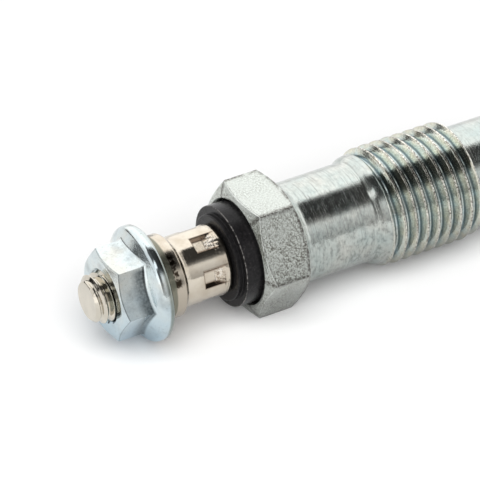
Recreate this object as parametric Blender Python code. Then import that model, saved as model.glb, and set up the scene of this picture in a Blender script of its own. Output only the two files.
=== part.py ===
"""Diesel glow plug, M12 x 1.25, with an M5 terminal stud and a flange nut.

The plug lies along X on one flat of its hexagon: the terminal end points to -X and the glow
tube to +X. The origin is on the ground below the middle of the plug. Every piece is turned
about the plug's axis, so each is described by stations along the axis and radii from it.
"""

import math

import bmesh
import bpy
import numpy as np

for old in list(bpy.data.objects):
    bpy.data.objects.remove(old, do_unlink=True)

MM = 0.001

# Body, the steel shell that screws into the cylinder head
HEX_ACROSS_FLATS = 12.0 * MM
HEX_LENGTH = 4.95 * MM
HEX_CHAMFER_INSET = 0.4 * MM
HEX_CHAMFER_ANGLE = math.radians(27)
HEX_FILLET = 0.45 * MM
SHANK_DIAMETER = 10.1 * MM
SHANK_LENGTH = 8.0 * MM
THREAD_DIAMETER = 11.9 * MM
THREAD_PITCH = 1.25 * MM
THREAD_LENGTH = 10.4 * MM
THREAD_BLANK_DIAMETER = 11.05 * MM
RUN_IN_LENGTH = 0.9 * MM
RUN_IN_LAND = 0.3 * MM
LOWER_SHANK_DIAMETER = 10.04 * MM
LOWER_SHANK_LENGTH = 6.4 * MM
SEAT_ANGLE = math.radians(93)
SEAT_NOSE_WALL = 0.75 * MM
PIN_CHAMBER_DIAMETER = 5.6 * MM

# Socket in the hexagon, which holds the insulating washer and the sealing ring
SOCKET_WALL = 0.8 * MM
SOCKET_DEPTH = 1.9 * MM
SOCKET_MOUTH_CHAMFER = 0.2 * MM
SEAL_POCKET_DEPTH = 3.1 * MM
SEAL_WIRE_DIAMETER = 1.35 * MM

# Terminal pin, the centre electrode with its M5 stud
STUD_DIAMETER = 4.9 * MM
STUD_PITCH = 0.8 * MM
STUD_FACE_DIAMETER = 3.68 * MM
STUD_STANDOUT = 1.7 * MM
STUD_OVERRUN = 0.9 * MM
PIN_DIAMETER = 4.2 * MM
PIN_LOWER_DIAMETER = 2.5 * MM
SPIGOT_DIAMETER = 1.5 * MM
SPIGOT_LENGTH = 2.6 * MM

# Flange nut
NUT_ACROSS_FLATS = 8.0 * MM
NUT_HEIGHT = 4.7 * MM
NUT_CHAMFER_INSET = 0.2 * MM
NUT_TURN = math.radians(1.5)
NUT_COUNTERSINK = 0.3 * MM
FLANGE_DIAMETER = 11.5 * MM
FLANGE_RIM = 1.0 * MM
FLANGE_SLOPE = math.radians(28)
FLANGE_EDGE = 0.12 * MM

# Crimped sleeve that locks the washer on the pin
SLEEVE_LENGTH = 7.45 * MM
SLEEVE_WALL = 1.38 * MM
COLLAR_STEP = 0.63 * MM
COLLAR_LENGTH = 2.05 * MM
COLLAR_FALL = 0.8 * MM
SLEEVE_END_ROUND = 0.45 * MM
CRIMP_COUNT = 6
CRIMP_PHASE = math.radians(49)
CRIMP_DEPTH = 0.5 * MM
CRIMP_FLOOR_LENGTH = 1.1 * MM
CRIMP_FLOOR_WIDTH = 1.25 * MM
CRIMP_WALL_LEAN = 0.35 * MM
CRIMP_RAMP_LENGTH = 1.25 * MM
CRIMP_END_LAND = 0.6 * MM

# Insulating washer
WASHER_STANDOUT = 1.6 * MM
BOSS_DIAMETER = 8.6 * MM
BOSS_HEIGHT = 0.5 * MM
WASHER_EDGE = 0.12 * MM
NECK_LENGTH = 1.4 * MM

# Glow tube and what it holds
TUBE_DIAMETER = 5.0 * MM
TUBE_WALL = 0.55 * MM
TUBE_REACH = 22.2 * MM
TUBE_GRIP = 13.0 * MM
TUBE_SEAL_LENGTH = 2.4 * MM
COIL_WIRE_DIAMETER = 0.34 * MM
REGULATING_TURNS = 10
REGULATING_PITCH = 0.85 * MM
HEATING_TURNS = 6
HEATING_PITCH = 0.7 * MM
COIL_FOOT = 1.3 * MM
COIL_BEND = 0.6 * MM
FOOT_TURN = math.radians(90)

# Clearances
SEAT_GAP = 0.05 * MM
SLIDE_GAP = 0.05 * MM
WASHER_GAP = 0.12 * MM
COIL_GAP = 0.06 * MM

# Smoothness of round surfaces
BODY_SIDES = 42
INNER_SIDES = 28
STUD_SIDES = 30
COIL_SIDES_PER_TURN = 10
WIRE_SIDES = 6
SHARP_ANGLE = math.radians(35)

# Radii that follow from the sizes above
body_radius = SHANK_DIAMETER / 2
lower_radius = LOWER_SHANK_DIAMETER / 2
thread_radius = THREAD_DIAMETER / 2
blank_radius = THREAD_BLANK_DIAMETER / 2
pin_radius = PIN_DIAMETER / 2
pin_lower_radius = PIN_LOWER_DIAMETER / 2
spigot_radius = SPIGOT_DIAMETER / 2
tube_radius = TUBE_DIAMETER / 2
tube_bore_radius = tube_radius - TUBE_WALL
chamber_radius = PIN_CHAMBER_DIAMETER / 2
socket_radius = HEX_ACROSS_FLATS / 2 - SOCKET_WALL
washer_radius = socket_radius - WASHER_GAP
washer_bore_radius = pin_radius + SLIDE_GAP
seal_wire_radius = SEAL_WIRE_DIAMETER / 2
seal_pocket_radius = pin_radius + SEAL_WIRE_DIAMETER + 2 * SLIDE_GAP
sleeve_radius = pin_radius + SLIDE_GAP + SLEEVE_WALL
collar_radius = sleeve_radius + COLLAR_STEP
nut_bore_radius = STUD_DIAMETER / 2 + SLIDE_GAP
flange_radius = FLANGE_DIAMETER / 2
coil_wire_radius = COIL_WIRE_DIAMETER / 2
coil_radius = spigot_radius + COIL_GAP + coil_wire_radius

# Stations along the axis, from the end of the stud
nut_start = STUD_STANDOUT
sleeve_start = nut_start + NUT_HEIGHT + SEAT_GAP
washer_start = sleeve_start + SLEEVE_LENGTH + SEAT_GAP
hex_start = washer_start + BOSS_HEIGHT + WASHER_STANDOUT
hex_end = hex_start + HEX_LENGTH
run_in_start = hex_end + SHANK_LENGTH
thread_start = run_in_start + RUN_IN_LENGTH + RUN_IN_LAND
thread_end = thread_start + THREAD_LENGTH
seat_start = thread_end + LOWER_SHANK_LENGTH
nose_radius = tube_radius + SLIDE_GAP + SEAT_NOSE_WALL
seat_length = (lower_radius - nose_radius) / math.tan(SEAT_ANGLE / 2)
nose_end = seat_start + seat_length
tube_start = nose_end - TUBE_GRIP
tube_end = nose_end + TUBE_REACH
socket_floor = hex_start + SOCKET_DEPTH
pocket_floor = socket_floor + SEAL_POCKET_DEPTH
tube_stop = tube_start - SEAT_GAP
tube_bore_end = tube_end - TUBE_WALL
overall_length = tube_end

# The two coils end to end, counted back from the closed end of the tube
heating_length = HEATING_TURNS * HEATING_PITCH
regulating_length = REGULATING_TURNS * REGULATING_PITCH
heating_end = tube_bore_end - COIL_FOOT - tube_bore_radius / 2
heating_start = heating_end - heating_length
regulating_end = heating_start - COIL_WIRE_DIAMETER - COIL_GAP
regulating_start = regulating_end - regulating_length
spigot_start = regulating_start - COIL_WIRE_DIAMETER
spigot_end = spigot_start + SPIGOT_LENGTH


def material(name, color, metallic, roughness):
    """A Principled material with one plain finish."""
    finish = bpy.data.materials.new(name)
    finish.use_nodes = True
    shader = finish.node_tree.nodes["Principled BSDF"]
    shader.inputs["Base Color"].default_value = (*color, 1.0)
    shader.inputs["Metallic"].default_value = metallic
    shader.inputs["Roughness"].default_value = roughness
    return finish


def place(name, bm, station, finish, turn=0.0):
    """Makes the finished mesh an object whose own origin is on the plug's axis."""
    bmesh.ops.recalc_face_normals(bm, faces=bm.faces)
    mesh = bpy.data.meshes.new(name)
    bm.to_mesh(mesh)
    bm.free()
    mesh.shade_smooth()
    mesh.set_sharp_from_angle(angle=SHARP_ANGLE)
    mesh.materials.append(finish)
    piece = bpy.data.objects.new(name, mesh)
    bpy.context.collection.objects.link(piece)
    piece.parent = plug_axis
    piece.location.x = station
    piece.rotation_euler.x = turn
    return piece


def angles(sides):
    """Angles about the axis, in the right-hand sense about +X, from +Y."""
    return np.arange(sides) * 2 * math.pi / sides


def add_ring(bm, x, radius, sides):
    """One closed row of corners. The station and the radius may each vary round the axis."""
    around = angles(sides)
    xs = np.broadcast_to(x, sides)
    radii = np.broadcast_to(radius, sides)
    points = np.column_stack((xs, radii * np.cos(around), radii * np.sin(around)))
    return [bm.verts.new(point) for point in points]


def join_rings(bm, first, second):
    """A band of faces between two rings."""
    for j, corner in enumerate(first):
        after = (j + 1) % len(first)
        bm.faces.new((corner, first[after], second[after], second[j]))


def join_pole(bm, ring, x):
    """Closes a ring with a flat or pointed fan of faces to the axis."""
    pole = bm.verts.new((x, 0.0, 0.0))
    for j, corner in enumerate(ring):
        bm.faces.new((corner, ring[(j + 1) % len(ring)], pole))


def turned(profile, sides, poles=False):
    """A turned piece: the profile lists (station, radius) in order along its surface.

    A profile without poles is a closed loop, which makes a ring with a hole through it.
    With poles, its first and last points are closed to the axis.
    """
    bm = bmesh.new()
    rings = [add_ring(bm, x, radius, sides) for x, radius in profile]
    for first, second in zip(rings, rings[1:]):
        join_rings(bm, first, second)
    if poles:
        join_pole(bm, rings[0], profile[0][0])
        join_pole(bm, rings[-1], profile[-1][0])
    else:
        join_rings(bm, rings[-1], rings[0])
    return bm


def hex_radius(across_flats, sides):
    """Distance from the axis to a hexagon with corners at 0, 60, 120 degrees and so on."""
    from_flat = np.mod(angles(sides), math.pi / 3) - math.pi / 6
    return across_flats / 2 / np.cos(from_flat)


# One pitch of a metric thread as (share of the pitch, height): flanks at 60 degrees to each
# other, a crest an eighth of the pitch wide and a root about a sixth
THREAD_FORM = ((0.045, 0.0), (0.215, 0.0), (0.5675, 1.0), (0.6925, 1.0))
THREAD_DEPTH_SHARE = 0.61


def join_thread(bm, start, end, pitch, envelope):
    """Joins two rings by a right-hand thread.

    Rows of corners follow the helix, so the row that ends a turn goes on as the row one
    pitch further. A corner that would lie beyond either ring is that ring's own corner,
    which closes the thread's ends. The envelope turns a corner's station and height into
    its radius.
    """
    sides = len(start)
    x_start = start[0].co.x
    x_end = end[0].co.x
    made = {}

    def corner(row, j):
        turn, j = divmod(j, sides)
        row += turn * len(THREAD_FORM)
        step, k = divmod(row, len(THREAD_FORM))
        share, height = THREAD_FORM[k]
        x = x_start + pitch * (step - 1 + share + j / sides)
        if x <= x_start + pitch * 1e-4:
            return start[j]
        if x >= x_end - pitch * 1e-4:
            return end[j]
        if (row, j) not in made:
            radius = envelope(x, height)
            around = 2 * math.pi * j / sides
            made[row, j] = bm.verts.new((x, radius * math.cos(around), radius * math.sin(around)))
        return made[row, j]

    rows = (math.ceil((x_end - x_start) / pitch) + 1) * len(THREAD_FORM)
    for row in range(-1, rows):
        for j in range(sides):
            quad = (corner(row, j), corner(row, j + 1), corner(row + 1, j + 1), corner(row + 1, j))
            face = list(dict.fromkeys(quad))
            if len(face) > 2:
                bm.faces.new(face)


def thread_envelope(crest, pitch, start, end, start_radius, end_radius, fade):
    """Radius of a thread point, with the depth fading into the plain ends."""
    depth = THREAD_DEPTH_SHARE * pitch

    def radius(x, height):
        full = crest - depth * (1 - height)
        grown = min(1.0, (x - start) / fade)
        left = min(1.0, (end - x) / fade)
        radius = start_radius + (full - start_radius) * grown
        return end_radius + (radius - end_radius) * left

    return radius


def build_body():
    """Shell: hexagon, shank, rolled thread, lower shank and cone seat, bored right through."""
    bm = bmesh.new()
    sides = BODY_SIDES
    hexagon = hex_radius(HEX_ACROSS_FLATS, sides)
    face_radius = HEX_ACROSS_FLATS / 2 - HEX_CHAMFER_INSET
    chamfer = (hexagon - face_radius) * math.tan(HEX_CHAMFER_ANGLE)
    round_in = min(HEX_FILLET, 0.8 * (face_radius - body_radius))
    fillet = [
        (HEX_LENGTH + round_in * (1 - math.cos(a)), body_radius + round_in * (1 - math.sin(a)))
        for a in np.linspace(0, math.pi / 2, 4)
    ]
    run_in = run_in_start - hex_start
    land = run_in + RUN_IN_LENGTH
    start = thread_start - hex_start
    end = thread_end - hex_start
    seat = seat_start - hex_start
    nose = nose_end - hex_start
    before = [
        (SOCKET_MOUTH_CHAMFER, socket_radius),
        (0.0, socket_radius + SOCKET_MOUTH_CHAMFER),
        (0.0, face_radius),
        (chamfer, hexagon),
        (HEX_LENGTH - chamfer, hexagon),
        (HEX_LENGTH, face_radius),
        *fillet,
        (run_in, body_radius),
        (land, blank_radius),
        (start, blank_radius),
    ]
    after = [
        (end, lower_radius),
        (seat, lower_radius),
        (nose, nose_radius),
        (nose, tube_radius + SLIDE_GAP),
        (tube_stop - hex_start, tube_radius + SLIDE_GAP),
        (tube_stop - hex_start - (chamber_radius - tube_radius), chamber_radius),
        (pocket_floor - hex_start, chamber_radius),
        (pocket_floor - hex_start, seal_pocket_radius),
        (socket_floor - hex_start, seal_pocket_radius),
        (socket_floor - hex_start, socket_radius),
    ]
    first = [add_ring(bm, x, radius, sides) for x, radius in before]
    second = [add_ring(bm, x, radius, sides) for x, radius in after]
    for rings in (first, second):
        for one, other in zip(rings, rings[1:]):
            join_rings(bm, one, other)
    join_rings(bm, second[-1], first[0])
    envelope = thread_envelope(
        thread_radius, THREAD_PITCH, start, end, blank_radius, lower_radius, THREAD_PITCH / 2
    )
    join_thread(bm, first[-1], second[0], THREAD_PITCH, envelope)
    finish = material("zinc_plated_steel", (0.62, 0.65, 0.62), 1.0, 0.32)
    place("plug_body", bm, hex_start, finish)


def build_pin():
    """Terminal pin: M5 stud, plain pin, thinner lower end and the spigot for the coil."""
    bm = bmesh.new()
    stud_end = sleeve_start + STUD_OVERRUN
    stud_radius = STUD_DIAMETER / 2
    face_radius = STUD_FACE_DIAMETER / 2
    step = tube_start - (pin_radius - pin_lower_radius) - SEAT_GAP
    face = add_ring(bm, 0.0, face_radius, STUD_SIDES)
    join_pole(bm, face, 0.0)
    rings = [
        add_ring(bm, x, radius, STUD_SIDES)
        for x, radius in (
            (stud_end, pin_radius),
            (step - (pin_radius - pin_lower_radius), pin_radius),
            (step, pin_lower_radius),
            (spigot_start, pin_lower_radius),
            (spigot_start, spigot_radius),
            (spigot_end, spigot_radius),
        )
    ]
    for one, other in zip(rings, rings[1:]):
        join_rings(bm, one, other)
    join_pole(bm, rings[-1], spigot_end)
    chamfer = stud_radius - face_radius
    envelope = thread_envelope(
        stud_radius, STUD_PITCH, 0.0, stud_end, face_radius, pin_radius, chamfer
    )
    join_thread(bm, face, rings[0], STUD_PITCH, envelope)
    place("terminal_pin", bm, 0.0, material("nickel_plated_pin", (0.72, 0.68, 0.61), 1.0, 0.25))


def build_nut():
    """Hexagon flange nut, chamfered in front, with a conical flange behind."""
    bm = bmesh.new()
    sides = BODY_SIDES
    hexagon = hex_radius(NUT_ACROSS_FLATS, sides)
    face_radius = NUT_ACROSS_FLATS / 2 - NUT_CHAMFER_INSET
    chamfer = (hexagon - face_radius) * math.tan(HEX_CHAMFER_ANGLE)
    rim_start = NUT_HEIGHT - FLANGE_RIM
    slope = math.tan(FLANGE_SLOPE)
    profile = [
        (NUT_COUNTERSINK, nut_bore_radius),
        (0.0, nut_bore_radius + NUT_COUNTERSINK),
        (0.0, face_radius),
        (chamfer, hexagon),
        (rim_start - (flange_radius - hexagon) * slope, hexagon),
        (rim_start, flange_radius - FLANGE_EDGE),
        (rim_start + FLANGE_EDGE, flange_radius),
        (NUT_HEIGHT - FLANGE_EDGE, flange_radius),
        (NUT_HEIGHT, flange_radius - FLANGE_EDGE),
        (NUT_HEIGHT, nut_bore_radius + NUT_COUNTERSINK),
        (NUT_HEIGHT - NUT_COUNTERSINK, nut_bore_radius),
    ]
    rings = [add_ring(bm, x, radius, sides) for x, radius in profile]
    for one, other in zip(rings, rings[1:] + rings[:1]):
        join_rings(bm, one, other)
    finish = material("blue_zinc_nut", (0.60, 0.66, 0.69), 1.0, 0.24)
    place("flange_nut", bm, nut_start, finish, turn=NUT_TURN)


def build_crimp_punches(floor_start):
    """The wedge-shaped dents as solids: a square floor, leaning walls and a long ramp."""
    bm = bmesh.new()
    floor = sleeve_radius - CRIMP_DEPTH
    mouth = sleeve_radius + CRIMP_DEPTH
    lean = CRIMP_WALL_LEAN * (mouth - floor) / CRIMP_DEPTH
    ramp = CRIMP_RAMP_LENGTH * (mouth - floor) / CRIMP_DEPTH
    levels = (
        (floor, floor_start, floor_start + CRIMP_FLOOR_LENGTH, CRIMP_FLOOR_WIDTH / 2),
        (
            mouth,
            floor_start - lean / 4,
            floor_start + CRIMP_FLOOR_LENGTH + ramp,
            CRIMP_FLOOR_WIDTH / 2 + lean,
        ),
    )
    for number in range(CRIMP_COUNT):
        around = CRIMP_PHASE + number * 2 * math.pi / CRIMP_COUNT
        out = np.array((0.0, math.cos(around), math.sin(around)))
        side = np.array((0.0, -math.sin(around), math.cos(around)))
        loops = []
        for height, x_first, x_last, half in levels:
            middle = out * height
            outline = ((x_first, -half), (x_last, -half), (x_last, half), (x_first, half))
            loops.append([bm.verts.new(middle + side * w + np.array((x, 0.0, 0.0))) for x, w in outline])
        join_rings(bm, loops[0], loops[1])
        bm.faces.new(loops[0])
        bm.faces.new(loops[1])
    return bm


def build_sleeve():
    """Crimped sleeve: a collar under the nut, a plain barrel and a ring of punched dents."""
    bore = pin_radius + SLIDE_GAP
    mouth = STUD_DIAMETER / 2 + SLIDE_GAP
    mouth_end = STUD_OVERRUN + SEAT_GAP
    edge = SLEEVE_END_ROUND / 3
    round_end = [
        (
            SLEEVE_LENGTH - SLEEVE_END_ROUND * (1 - math.sin(a)),
            sleeve_radius - SLEEVE_END_ROUND * (1 - math.cos(a)),
        )
        for a in np.linspace(0, math.pi / 2, 5)
    ]
    profile = [
        (0.0, mouth),
        (0.0, collar_radius - edge),
        (edge, collar_radius),
        (COLLAR_LENGTH - edge, collar_radius),
        (COLLAR_LENGTH, collar_radius - edge / 2),
        (COLLAR_LENGTH + COLLAR_FALL / 2, sleeve_radius + COLLAR_STEP / 4),
        (COLLAR_LENGTH + COLLAR_FALL, sleeve_radius),
        *round_end,
        (SLEEVE_LENGTH, bore),
        (mouth_end + (mouth - bore), bore),
        (mouth_end, mouth),
    ]
    bm = turned(profile, BODY_SIDES)
    finish = material("nickel_plated_sleeve", (0.74, 0.68, 0.60), 1.0, 0.18)
    sleeve = place("crimp_sleeve", bm, sleeve_start, finish)

    ramp_end = SLEEVE_LENGTH - CRIMP_END_LAND
    floor_start = ramp_end - CRIMP_RAMP_LENGTH - CRIMP_FLOOR_LENGTH
    punches = place("crimp_punches", build_crimp_punches(floor_start), sleeve_start, finish)
    punches.hide_render = True
    punches.display_type = "WIRE"
    dents = sleeve.modifiers.new("dents", "BOOLEAN")
    dents.operation = "DIFFERENCE"
    dents.solver = "EXACT"
    dents.object = punches


def build_washer():
    """Insulating washer: a raised boss, a disc in the body's socket and a neck on the seal."""
    disc_end = BOSS_HEIGHT + WASHER_STANDOUT + SOCKET_DEPTH - SEAT_GAP
    neck_end = disc_end + NECK_LENGTH
    neck_radius = seal_pocket_radius - WASHER_GAP
    boss_radius = BOSS_DIAMETER / 2
    profile = [
        (0.0, washer_bore_radius),
        (0.0, boss_radius - WASHER_EDGE),
        (WASHER_EDGE, boss_radius),
        (BOSS_HEIGHT, boss_radius),
        (BOSS_HEIGHT, washer_radius - WASHER_EDGE),
        (BOSS_HEIGHT + WASHER_EDGE, washer_radius),
        (disc_end, washer_radius),
        (disc_end, neck_radius),
        (neck_end, neck_radius),
        (neck_end, washer_bore_radius),
    ]
    bm = turned(profile, BODY_SIDES)
    place("insulating_washer", bm, washer_start, material("black_phenolic", (0.03, 0.03, 0.032), 0.0, 0.45))


def build_sealing_ring():
    """Rubber ring squeezed between the pin, the pocket and the washer's neck."""
    neck_end = socket_floor + NECK_LENGTH - SEAT_GAP
    middle_radius = pin_radius + SLIDE_GAP + seal_wire_radius
    middle = seal_wire_radius + SEAT_GAP
    wire = [
        (middle + seal_wire_radius * math.cos(a), middle_radius + seal_wire_radius * math.sin(a))
        for a in angles(12)
    ]
    bm = turned(wire, INNER_SIDES)
    place("sealing_ring", bm, neck_end, material("black_rubber", (0.02, 0.02, 0.02), 0.0, 0.6))


def build_tube():
    """Glow tube: a thin sheath with a rounded closed tip, pressed into the body's nose."""
    length = tube_end - tube_start
    quarter = np.linspace(0, math.pi / 2, 7)[:-1]
    outside = [
        (length - tube_radius * (1 - math.sin(a)), tube_radius * math.cos(a)) for a in quarter
    ]
    bore_end = tube_bore_end - tube_start
    inside = [
        (bore_end - tube_bore_radius * (1 - math.sin(a)), tube_bore_radius * math.cos(a))
        for a in quarter
    ]
    bm = bmesh.new()
    outer = [add_ring(bm, x, r, INNER_SIDES) for x, r in [(0.0, tube_radius), *outside]]
    inner = [add_ring(bm, x, r, INNER_SIDES) for x, r in [(0.0, tube_bore_radius), *inside]]
    for rings in (outer, inner):
        for one, other in zip(rings, rings[1:]):
            join_rings(bm, one, other)
    join_rings(bm, outer[0], inner[0])
    join_pole(bm, outer[-1], length)
    join_pole(bm, inner[-1], bore_end)
    place("glow_tube", bm, tube_start, material("heat_resistant_alloy", (0.42, 0.40, 0.38), 1.0, 0.35))


def build_tube_seal():
    """Soft plug that closes the open end of the glow tube round the pin."""
    outside = tube_bore_radius - SLIDE_GAP
    inside = pin_lower_radius + SLIDE_GAP
    profile = [(0.0, inside), (0.0, outside), (TUBE_SEAL_LENGTH, outside), (TUBE_SEAL_LENGTH, inside)]
    bm = turned(profile, INNER_SIDES)
    place("tube_seal", bm, tube_start, material("red_silicone", (0.35, 0.12, 0.08), 0.0, 0.6))


def coil(path):
    """A round wire carried along a path of points, with flat ends."""
    points = np.array(path)
    along = np.gradient(points, axis=0)
    along /= np.linalg.norm(along, axis=1)[:, None]
    outward = points * np.array((0.0, 1.0, 1.0))
    outward -= along * np.sum(outward * along, axis=1)[:, None]
    outward /= np.linalg.norm(outward, axis=1)[:, None]
    sideways = np.cross(along, outward)
    bm = bmesh.new()
    rings = []
    for point, out, side in zip(points, outward, sideways):
        rings.append([
            bm.verts.new(point + coil_wire_radius * (math.cos(a) * out + math.sin(a) * side))
            for a in angles(WIRE_SIDES)
        ])
    for one, other in zip(rings, rings[1:]):
        join_rings(bm, one, other)
    bm.faces.new(rings[0])
    bm.faces.new(rings[-1])
    return bm


def helix(turns, pitch):
    """Points of a right-hand helix, from its first station."""
    around = np.linspace(0, turns * 2 * math.pi, turns * COIL_SIDES_PER_TURN + 1)
    return np.column_stack((
        around / (2 * math.pi) * pitch,
        coil_radius * np.cos(around),
        coil_radius * np.sin(around),
    ))


def coil_foot():
    """The heating coil's last quarter turn, bent into a straight foot that meets the tip."""
    share = np.linspace(0, 1, 8)[1:]
    around = FOOT_TURN * (1 - (1 - share) ** 2)
    bend = np.column_stack((
        heating_length + HEATING_PITCH * around / (2 * math.pi) + COIL_BEND * share**2,
        coil_radius * np.cos(around),
        coil_radius * np.sin(around),
    ))
    tip_centre = tube_bore_end - tube_bore_radius
    reach = math.sqrt(tube_bore_radius**2 - (coil_radius + coil_wire_radius)**2)
    end = (tip_centre + reach - SEAT_GAP - heating_start, *bend[-1][1:])
    return np.vstack((bend, end))


def build_coils():
    """Regulating coil on the pin's spigot, then the heating coil with its foot in the tip."""
    nickel = material("nickel_wire", (0.62, 0.60, 0.55), 1.0, 0.35)
    alloy = material("heating_wire", (0.45, 0.42, 0.40), 1.0, 0.4)
    bm = coil(helix(REGULATING_TURNS, REGULATING_PITCH))
    place("regulating_coil", bm, regulating_start, nickel)
    bm = coil(np.vstack((helix(HEATING_TURNS, HEATING_PITCH), coil_foot())))
    place("heating_coil", bm, heating_start, alloy)


def build_filling():
    """Pressed magnesia: fills the tube round the pin and the coils, with a core inside them."""
    start = tube_start + TUBE_SEAL_LENGTH + SEAT_GAP
    outside = tube_bore_radius - SLIDE_GAP
    tip_centre = tube_bore_end - tube_bore_radius
    bore = pin_lower_radius + SLIDE_GAP
    coil_outside = coil_radius + coil_wire_radius + COIL_GAP
    coil_inside = coil_radius - coil_wire_radius - COIL_GAP
    bore_end = spigot_start + SEAT_GAP
    groove_end = heating_end + COIL_BEND + coil_wire_radius + COIL_GAP
    core_start = spigot_end + SEAT_GAP
    tip = [
        (tip_centre + outside * math.sin(a) - start, outside * math.cos(a))
        for a in np.linspace(0, math.pi / 2, 7)[:-1]
    ]
    profile = [
        (core_start - start, coil_inside),
        (groove_end - start, coil_inside),
        (groove_end - start, coil_outside),
        (bore_end - start, coil_outside),
        (bore_end - start, bore),
        (0.0, bore),
        (0.0, outside),
        *tip,
    ]
    bm = turned(profile, INNER_SIDES, poles=True)
    filling = place("magnesia_filling", bm, start, material("magnesia", (0.85, 0.84, 0.80), 0.0, 0.9))

    bm = bmesh.new()
    sides = 8
    hole = coil_wire_radius + COIL_GAP
    middle = (coil_radius * math.cos(FOOT_TURN), coil_radius * math.sin(FOOT_TURN))
    rings = []
    for x in (groove_end - coil_wire_radius, tube_bore_end):
        rings.append([
            bm.verts.new((x, middle[0] + hole * math.cos(a), middle[1] + hole * math.sin(a)))
            for a in angles(sides)
        ])
    join_rings(bm, rings[0], rings[1])
    bm.faces.new(rings[0])
    bm.faces.new(rings[1])
    channel = place("foot_channel", bm, 0.0, filling.data.materials[0])
    channel.hide_render = True
    channel.display_type = "WIRE"
    cut = filling.modifiers.new("foot_channel", "BOOLEAN")
    cut.operation = "DIFFERENCE"
    cut.solver = "EXACT"
    cut.object = channel


# The axis starts at the end of the stud, and lies at the height of a hexagon resting on a flat
plug_axis = bpy.data.objects.new("plug_axis", None)
bpy.context.collection.objects.link(plug_axis)
plug_axis.location = (-overall_length / 2, 0.0, HEX_ACROSS_FLATS / 2)

build_body()
build_pin()
build_nut()
build_sleeve()
build_washer()
build_sealing_ring()
build_tube()
build_tube_seal()
build_coils()
build_filling()
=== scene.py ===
"""Diesel glow plug lying on a pale table, with its stud and flange nut towards the camera."""

import bpy
import numpy as np
from mathutils import Matrix


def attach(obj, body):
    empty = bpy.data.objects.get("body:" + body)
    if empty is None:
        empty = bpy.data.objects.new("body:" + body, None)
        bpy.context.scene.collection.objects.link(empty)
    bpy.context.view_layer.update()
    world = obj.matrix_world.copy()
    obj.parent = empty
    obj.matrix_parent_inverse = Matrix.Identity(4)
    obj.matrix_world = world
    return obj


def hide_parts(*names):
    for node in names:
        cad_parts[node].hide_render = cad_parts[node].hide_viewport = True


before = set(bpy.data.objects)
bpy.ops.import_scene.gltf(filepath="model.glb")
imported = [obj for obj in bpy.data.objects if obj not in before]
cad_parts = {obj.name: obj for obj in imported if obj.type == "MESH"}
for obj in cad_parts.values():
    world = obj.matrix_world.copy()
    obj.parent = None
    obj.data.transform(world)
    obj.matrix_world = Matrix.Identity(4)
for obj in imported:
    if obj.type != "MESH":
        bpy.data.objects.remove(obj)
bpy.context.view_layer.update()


# Table, studio light and camera
# The plug lies on a matt white table top. A broad white screen stands behind it and a grey one in
# front, with a dark gap overhead between them, which is what its bright metal reflects.

bpy.context.scene.view_settings.view_transform = "Standard"

TABLE_HALF = 1.5
TABLE_WHITE = 0.9
EVEN_LIGHT = 0.28
SCREEN_PEAK = 1.65
# Each screen lists (angle in half turns from straight up towards the camera's side, brightness)
MIDDLE_SCREEN = (
    (-1.0, 0.8), (-0.5, 1.5), (-0.07, 1.65), (-0.05, 0.06), (0.15, 0.05), (0.2, 0.08),
    (0.245, 0.3), (0.27, 0.85), (0.3, 0.95), (0.36, 0.8), (0.42, 0.65), (0.5, 0.55), (1.0, 0.6),
)
LEFT_SCREEN = (
    (-1.0, 0.8), (-0.51, 0.95), (-0.5, 0.02), (-0.46, 0.02), (-0.45, 1.35), (-0.12, 1.5),
    (-0.09, 0.12), (0.085, 0.12), (0.1, 1.55), (0.17, 1.55), (0.19, 0.12), (0.3, 0.14),
    (0.4, 0.4), (0.48, 0.5), (0.55, 0.6), (1.0, 0.8),
)
FAR_LEFT_SCREEN = (
    (-1.0, 0.8), (-0.51, 0.95), (-0.5, 0.02), (-0.45, 0.02), (-0.44, 1.0),
    (0.1, 1.1), (0.2, 1.6), (0.46, 1.6), (0.55, 0.8), (1.0, 0.8),
)
RIGHT_SCREEN = ((-1.0, 0.8), (-0.5, 1.1), (-0.1, 1.4), (0.5, 1.3), (0.6, 0.8), (1.0, 0.8))


def add_node(tree, kind, inputs, **settings):
    """Adds a node. Each input is a plain value or a socket to link."""
    made = tree.nodes.new(kind)
    for setting, value in settings.items():
        setattr(made, setting, value)
    for socket, value in inputs.items():
        if isinstance(value, bpy.types.NodeSocket):
            tree.links.new(value, made.inputs[socket])
        else:
            made.inputs[socket].default_value = value
    return made


def calculate(tree, operation, one, other):
    """One sum on two values or sockets."""
    return add_node(tree, "ShaderNodeMath", {0: one, 1: other}, operation=operation).outputs[0]


def within(tree, value, low, high, low_result=0.0, high_result=1.0):
    """A value's share of the way from low to high, held at the two ends."""
    made = add_node(
        tree,
        "ShaderNodeMapRange",
        {
            "Value": value,
            "From Min": low,
            "From Max": high,
            "To Min": low_result,
            "To Max": high_result,
        },
    )
    return made.outputs["Result"]


def ramp(tree, factor, stops):
    """Colours along a factor from 0 to 1. Each stop is (place, grey) or (place, red, green, blue)."""
    made = add_node(tree, "ShaderNodeValToRGB", {"Fac": factor})
    elements = made.color_ramp.elements
    while len(elements) < len(stops):
        elements.new(0.5)
    for element, (place, *color) in zip(elements, stops):
        element.position = place
        element.color = (*(color * 3)[:3], 1.0)
    return made.outputs["Color"]


def mix(tree, factor, one, other, blend="MIX"):
    """Mixes two colours by a factor from 0 to 1. A bare number is a grey."""
    made = add_node(
        tree, "ShaderNodeMix", {"Factor": factor}, data_type="RGBA", blend_type=blend
    )
    for socket, value in ((6, one), (7, other)):
        if isinstance(value, bpy.types.NodeSocket):
            tree.links.new(value, made.inputs[socket])
        else:
            made.inputs[socket].default_value = (*(np.ones(3) * value), 1.0)
    return made.outputs[2]


def add_object(name, data):
    """A new object in the scene."""
    made = bpy.data.objects.new(name, data)
    bpy.context.collection.objects.link(made)
    return made


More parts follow.
